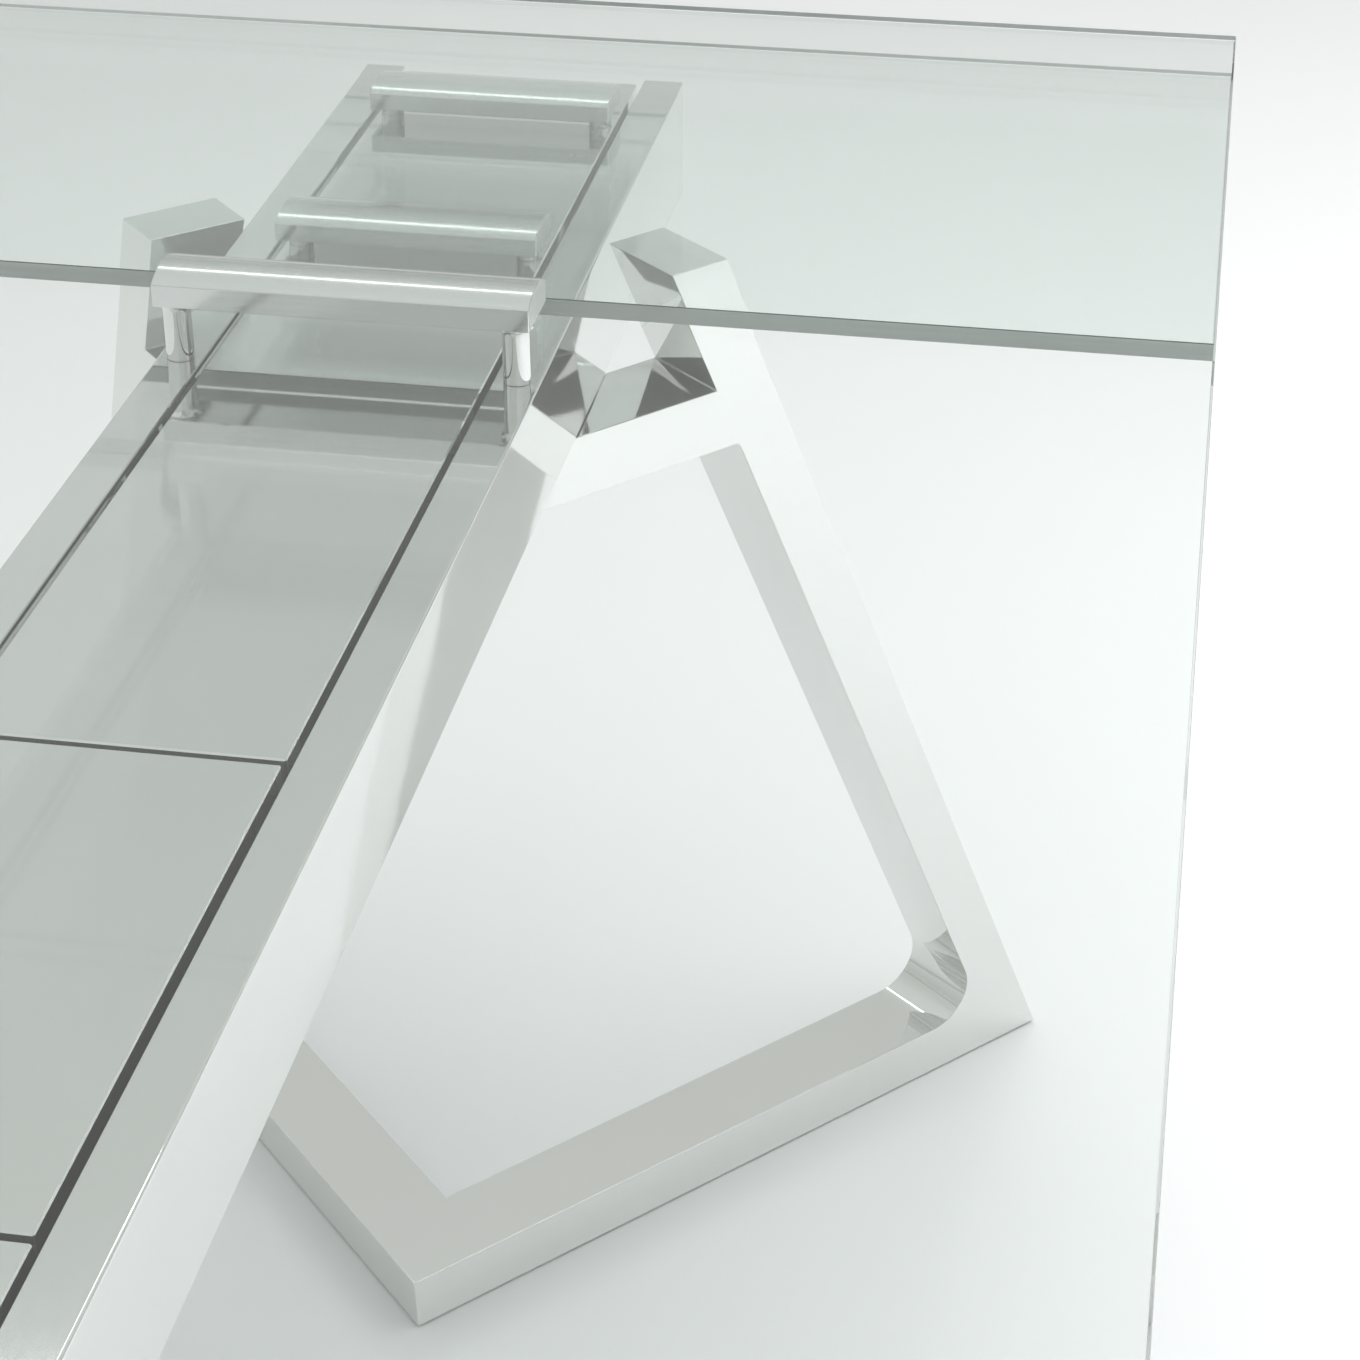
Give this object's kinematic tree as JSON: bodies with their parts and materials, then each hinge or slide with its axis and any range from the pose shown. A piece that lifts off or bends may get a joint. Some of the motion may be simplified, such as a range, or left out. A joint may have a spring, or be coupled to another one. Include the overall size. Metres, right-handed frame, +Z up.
{
  "type": "extendable dining table",
  "caption": "Rectangular clear glass table on a central steel beam and V-shaped polished trestles, with a sliding glass leaf under each end.",
  "frame": {"origin": "on the floor, under the centre of the closed table", "axes": "+X along the table towards the far end, +Y across it, +Z up"},
  "size_m": [2.0454, 0.9, 0.757],
  "materials": {
    "polished_steel": "mirror-polished stainless steel",
    "satin_steel": "fine satin stainless steel",
    "clear_glass": "clear tempered glass with polished edges",
    "nylon": "natural nylon",
    "rubber": "moulded rubber",
    "zinc_steel": "zinc-plated steel"
  },
  "bodies": {
    "frame": {"bottom_plate": "satin_steel", "bumper_far": "rubber", "bumper_near": "rubber", "centre_panel": "polished_steel", "glide_far_apex": "nylon", "glide_far_left": "nylon", "glide_far_right": "nylon", "glide_near_apex": "nylon", "glide_near_left": "nylon", "glide_near_right": "nylon", "main_bar_far": "satin_steel", "main_bar_near": "satin_steel", "main_glass": "clear_glass", "post_far_left": "polished_steel", "post_far_right": "polished_steel", "post_near_left": "polished_steel", "post_near_right": "polished_steel", "rail_cap_far_left": "polished_steel", "rail_cap_far_right": "polished_steel", "rail_cap_near_left": "polished_steel", "rail_cap_near_right": "polished_steel", "side_rail_left": "polished_steel", "side_rail_right": "polished_steel", "travel_stop_far": "nylon", "travel_stop_near": "nylon", "trestle_bolt_far_left": "zinc_steel", "trestle_bolt_far_right": "zinc_steel", "trestle_bolt_near_left": "zinc_steel", "trestle_bolt_near_right": "zinc_steel", "trestle_far": "polished_steel", "trestle_near": "polished_steel"},
    "leaf_far": {"carriage_far": "polished_steel", "leaf_glass_far": "clear_glass", "leaf_bar_far_inner": "satin_steel", "leaf_bar_far_outer": "satin_steel", "bar_foot_far_inner_left": "satin_steel", "bar_foot_far_inner_right": "satin_steel", "bar_foot_far_outer_left": "satin_steel", "bar_foot_far_outer_right": "satin_steel"},
    "axle_set_far_inner": {"axle_far_inner": "zinc_steel", "roller_far_inner_left": "nylon", "roller_far_inner_right": "nylon"},
    "axle_set_far_outer": {"axle_far_outer": "zinc_steel", "roller_far_outer_left": "nylon", "roller_far_outer_right": "nylon"},
    "leaf_near": {"carriage_near": "polished_steel", "leaf_glass_near": "clear_glass", "leaf_bar_near_inner": "satin_steel", "leaf_bar_near_outer": "satin_steel", "bar_foot_near_inner_left": "satin_steel", "bar_foot_near_inner_right": "satin_steel", "bar_foot_near_outer_left": "satin_steel", "bar_foot_near_outer_right": "satin_steel"},
    "axle_set_near_inner": {"axle_near_inner": "zinc_steel", "roller_near_inner_left": "nylon", "roller_near_inner_right": "nylon"},
    "axle_set_near_outer": {"axle_near_outer": "zinc_steel", "roller_near_outer_left": "nylon", "roller_near_outer_right": "nylon"}
  },
  "joints": [
    {"name": "leaf_far_slide", "type": "slide", "parent": "frame", "child": "leaf_far", "axis": [1, 0, 0], "range_m": [0, 0.4]},
    {"name": "axle_set_far_inner_roll", "type": "hinge", "parent": "leaf_far", "child": "axle_set_far_inner", "pos_m": [0.19, 0, 0.674], "axis": [0, 1, 0], "range_deg": [-2, 1435]},
    {"name": "axle_set_far_outer_roll", "type": "hinge", "parent": "leaf_far", "child": "axle_set_far_outer", "pos_m": [0.53, 0, 0.674], "axis": [0, 1, 0], "range_deg": [-2, 1435]},
    {"name": "leaf_near_slide", "type": "slide", "parent": "frame", "child": "leaf_near", "axis": [-1, 0, 0], "range_m": [0, 0.4]},
    {"name": "axle_set_near_inner_roll", "type": "hinge", "parent": "leaf_near", "child": "axle_set_near_inner", "pos_m": [-0.19, 0, 0.674], "axis": [0, -1, 0], "range_deg": [-2, 1435]},
    {"name": "axle_set_near_outer_roll", "type": "hinge", "parent": "leaf_near", "child": "axle_set_near_outer", "pos_m": [-0.53, 0, 0.674], "axis": [0, -1, 0], "range_deg": [-2, 1435]}
  ],
  "couplings": [
    {"joint": "axle_set_far_inner_roll", "follows": "leaf_far_slide", "rad_per_m": 62.5},
    {"joint": "axle_set_far_outer_roll", "follows": "leaf_far_slide", "rad_per_m": 62.5},
    {"joint": "axle_set_near_inner_roll", "follows": "leaf_near_slide", "rad_per_m": 62.5},
    {"joint": "axle_set_near_outer_roll", "follows": "leaf_near_slide", "rad_per_m": 62.5}
  ]
}
